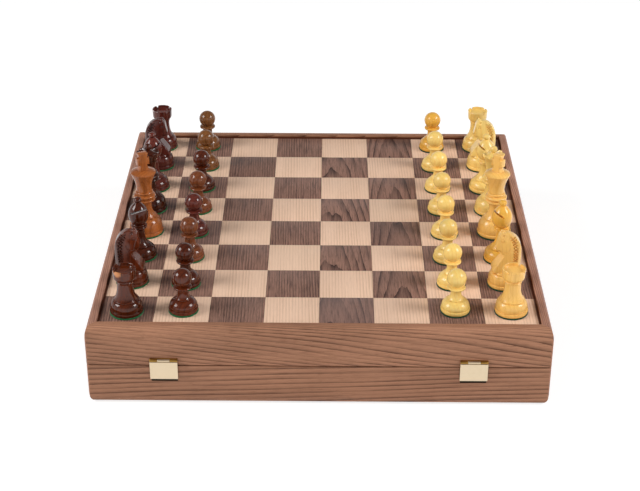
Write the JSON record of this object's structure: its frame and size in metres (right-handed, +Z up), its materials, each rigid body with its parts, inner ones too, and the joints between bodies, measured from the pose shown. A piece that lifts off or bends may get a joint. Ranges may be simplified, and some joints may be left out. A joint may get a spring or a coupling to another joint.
{
  "type": "hinged chess case with chessmen",
  "caption": "Square hinged wooden chess case with an inlaid board in its lid, two brass flap latches and a set of turned and carved chessmen",
  "frame": {"origin": "middle of the case's footprint, on the surface the case stands on", "axes": "+Z up; latches face -Y, hinges face +Y; the dark men stand on the -X side and the light men on the +X side"},
  "size_m": [0.38, 0.3882, 0.1489],
  "materials": {
    "case_walnut": "satin lacquered walnut, grain along each rail",
    "divider_wood": "satin walnut, grain along each divider",
    "board_plywood": "plain sanded plywood",
    "panel_plywood": "stained sanded plywood",
    "light_veneer": "matt ash veneer, grain from front to back",
    "dark_veneer": "matt walnut veneer with dark streaks",
    "green_felt": "short napped felt",
    "brass_plate": "pale satin brass plate",
    "brass_hardware": "polished brass",
    "black_hardware": "blackened steel",
    "brass_screws": "polished brass with slotted heads",
    "dark_men_wood": "glossy lacquered dark brown wood",
    "light_men_wood": "satin lacquered boxwood"
  },
  "bodies": {
    "base": {"base_front_rail": "case_walnut", "base_back_rail": "case_walnut", "base_left_rail": "case_walnut", "base_right_rail": "case_walnut", "base_panel": "panel_plywood", "base_lining": "green_felt", "divider_left": "divider_wood", "divider_right": "divider_wood", "divider_cross": "divider_wood", "base_screws": "brass_screws", "hinge_base_leaves": "brass_hardware", "hinge_pins": "brass_hardware", "latch_keepers": "black_hardware"},
    "lid": {"lid_front_rail": "case_walnut", "lid_back_rail": "case_walnut", "lid_left_rail": "case_walnut", "lid_right_rail": "case_walnut", "board_core": "board_plywood", "light_squares": "light_veneer", "dark_squares": "dark_veneer", "lid_lining": "green_felt", "hinge_lid_leaves": "brass_hardware", "latch_brackets": "brass_hardware", "latch_pins": "brass_hardware", "lid_screws": "brass_screws"},
    "latch_left": {"latch_flap_left": "brass_plate"},
    "latch_right": {"latch_flap_right": "brass_plate"},
    "dark_king_body": {"dark_king": "dark_men_wood"},
    "dark_queen_body": {"dark_queen": "dark_men_wood"},
    "dark_rook_front_body": {"dark_rook_front": "dark_men_wood"},
    "dark_rook_back_body": {"dark_rook_back": "dark_men_wood"},
    "dark_knight_front_body": {"dark_knight_front": "dark_men_wood"},
    "dark_knight_back_body": {"dark_knight_back": "dark_men_wood"},
    "dark_bishop_front_body": {"dark_bishop_front": "dark_men_wood"},
    "dark_bishop_back_body": {"dark_bishop_back": "dark_men_wood"},
    "dark_pawn_1_body": {"dark_pawn_1": "dark_men_wood"},
    "dark_pawn_2_body": {"dark_pawn_2": "dark_men_wood"},
    "dark_pawn_3_body": {"dark_pawn_3": "dark_men_wood"},
    "dark_pawn_4_body": {"dark_pawn_4": "dark_men_wood"},
    "dark_pawn_5_body": {"dark_pawn_5": "dark_men_wood"},
    "dark_pawn_6_body": {"dark_pawn_6": "dark_men_wood"},
    "dark_pawn_7_body": {"dark_pawn_7": "dark_men_wood"},
    "dark_pawn_8_body": {"dark_pawn_8": "dark_men_wood"},
    "light_king_body": {"light_king": "light_men_wood"},
    "light_queen_body": {"light_queen": "light_men_wood"},
    "light_rook_front_body": {"light_rook_front": "light_men_wood"},
    "light_rook_back_body": {"light_rook_back": "light_men_wood"},
    "light_knight_front_body": {"light_knight_front": "light_men_wood"},
    "light_knight_back_body": {"light_knight_back": "light_men_wood"},
    "light_bishop_front_body": {"light_bishop_front": "light_men_wood"},
    "light_bishop_back_body": {"light_bishop_back": "light_men_wood"},
    "light_pawn_1_body": {"light_pawn_1": "light_men_wood"},
    "light_pawn_2_body": {"light_pawn_2": "light_men_wood"},
    "light_pawn_3_body": {"light_pawn_3": "light_men_wood"},
    "light_pawn_4_body": {"light_pawn_4": "light_men_wood"},
    "light_pawn_5_body": {"light_pawn_5": "light_men_wood"},
    "light_pawn_6_body": {"light_pawn_6": "light_men_wood"},
    "light_pawn_7_body": {"light_pawn_7": "light_men_wood"},
    "light_pawn_8_body": {"light_pawn_8": "light_men_wood"}
  },
  "joints": [
    {"name": "lid_hinge", "type": "hinge", "parent": "base", "child": "lid", "pos_m": [0, 0.1927, 0.0368], "axis": [-1, 0, 0], "range_deg": [0, 180]},
    {"name": "latch_left_hinge", "type": "hinge", "parent": "lid", "child": "latch_left", "pos_m": [-0.1266, -0.1919, 0.0432], "axis": [-1, 0, 0], "range_deg": [0, 115]},
    {"name": "latch_right_hinge", "type": "hinge", "parent": "lid", "child": "latch_right", "pos_m": [0.1266, -0.1919, 0.0432], "axis": [-1, 0, 0], "range_deg": [0, 115]},
    {"name": "dark_king_lift", "type": "slide", "parent": "lid", "child": "dark_king_body", "axis": [0, 0, 1], "range_m": [0, 0.1]},
    {"name": "dark_queen_lift", "type": "slide", "parent": "lid", "child": "dark_queen_body", "axis": [0, 0, 1], "range_m": [0, 0.1]},
    {"name": "dark_rook_front_lift", "type": "slide", "parent": "lid", "child": "dark_rook_front_body", "axis": [0, 0, 1], "range_m": [0, 0.1]},
    {"name": "dark_rook_back_lift", "type": "slide", "parent": "lid", "child": "dark_rook_back_body", "axis": [0, 0, 1], "range_m": [0, 0.1]},
    {"name": "dark_knight_front_lift", "type": "slide", "parent": "lid", "child": "dark_knight_front_body", "axis": [0, 0, 1], "range_m": [0, 0.1]},
    {"name": "dark_knight_back_lift", "type": "slide", "parent": "lid", "child": "dark_knight_back_body", "axis": [0, 0, 1], "range_m": [0, 0.1]},
    {"name": "dark_bishop_front_lift", "type": "slide", "parent": "lid", "child": "dark_bishop_front_body", "axis": [0, 0, 1], "range_m": [0, 0.1]},
    {"name": "dark_bishop_back_lift", "type": "slide", "parent": "lid", "child": "dark_bishop_back_body", "axis": [0, 0, 1], "range_m": [0, 0.1]},
    {"name": "dark_pawn_1_lift", "type": "slide", "parent": "lid", "child": "dark_pawn_1_body", "axis": [0, 0, 1], "range_m": [0, 0.1]},
    {"name": "dark_pawn_2_lift", "type": "slide", "parent": "lid", "child": "dark_pawn_2_body", "axis": [0, 0, 1], "range_m": [0, 0.1]},
    {"name": "dark_pawn_3_lift", "type": "slide", "parent": "lid", "child": "dark_pawn_3_body", "axis": [0, 0, 1], "range_m": [0, 0.1]},
    {"name": "dark_pawn_4_lift", "type": "slide", "parent": "lid", "child": "dark_pawn_4_body", "axis": [0, 0, 1], "range_m": [0, 0.1]},
    {"name": "dark_pawn_5_lift", "type": "slide", "parent": "lid", "child": "dark_pawn_5_body", "axis": [0, 0, 1], "range_m": [0, 0.1]},
    {"name": "dark_pawn_6_lift", "type": "slide", "parent": "lid", "child": "dark_pawn_6_body", "axis": [0, 0, 1], "range_m": [0, 0.1]},
    {"name": "dark_pawn_7_lift", "type": "slide", "parent": "lid", "child": "dark_pawn_7_body", "axis": [0, 0, 1], "range_m": [0, 0.1]},
    {"name": "dark_pawn_8_lift", "type": "slide", "parent": "lid", "child": "dark_pawn_8_body", "axis": [0, 0, 1], "range_m": [0, 0.1]},
    {"name": "light_king_lift", "type": "slide", "parent": "lid", "child": "light_king_body", "axis": [0, 0, 1], "range_m": [0, 0.1]},
    {"name": "light_queen_lift", "type": "slide", "parent": "lid", "child": "light_queen_body", "axis": [0, 0, 1], "range_m": [0, 0.1]},
    {"name": "light_rook_front_lift", "type": "slide", "parent": "lid", "child": "light_rook_front_body", "axis": [0, 0, 1], "range_m": [0, 0.1]},
    {"name": "light_rook_back_lift", "type": "slide", "parent": "lid", "child": "light_rook_back_body", "axis": [0, 0, 1], "range_m": [0, 0.1]},
    {"name": "light_knight_front_lift", "type": "slide", "parent": "lid", "child": "light_knight_front_body", "axis": [0, 0, 1], "range_m": [0, 0.1]},
    {"name": "light_knight_back_lift", "type": "slide", "parent": "lid", "child": "light_knight_back_body", "axis": [0, 0, 1], "range_m": [0, 0.1]},
    {"name": "light_bishop_front_lift", "type": "slide", "parent": "lid", "child": "light_bishop_front_body", "axis": [0, 0, 1], "range_m": [0, 0.1]},
    {"name": "light_bishop_back_lift", "type": "slide", "parent": "lid", "child": "light_bishop_back_body", "axis": [0, 0, 1], "range_m": [0, 0.1]},
    {"name": "light_pawn_1_lift", "type": "slide", "parent": "lid", "child": "light_pawn_1_body", "axis": [0, 0, 1], "range_m": [0, 0.1]},
    {"name": "light_pawn_2_lift", "type": "slide", "parent": "lid", "child": "light_pawn_2_body", "axis": [0, 0, 1], "range_m": [0, 0.1]},
    {"name": "light_pawn_3_lift", "type": "slide", "parent": "lid", "child": "light_pawn_3_body", "axis": [0, 0, 1], "range_m": [0, 0.1]},
    {"name": "light_pawn_4_lift", "type": "slide", "parent": "lid", "child": "light_pawn_4_body", "axis": [0, 0, 1], "range_m": [0, 0.1]},
    {"name": "light_pawn_5_lift", "type": "slide", "parent": "lid", "child": "light_pawn_5_body", "axis": [0, 0, 1], "range_m": [0, 0.1]},
    {"name": "light_pawn_6_lift", "type": "slide", "parent": "lid", "child": "light_pawn_6_body", "axis": [0, 0, 1], "range_m": [0, 0.1]},
    {"name": "light_pawn_7_lift", "type": "slide", "parent": "lid", "child": "light_pawn_7_body", "axis": [0, 0, 1], "range_m": [0, 0.1]},
    {"name": "light_pawn_8_lift", "type": "slide", "parent": "lid", "child": "light_pawn_8_body", "axis": [0, 0, 1], "range_m": [0, 0.1]}
  ]
}
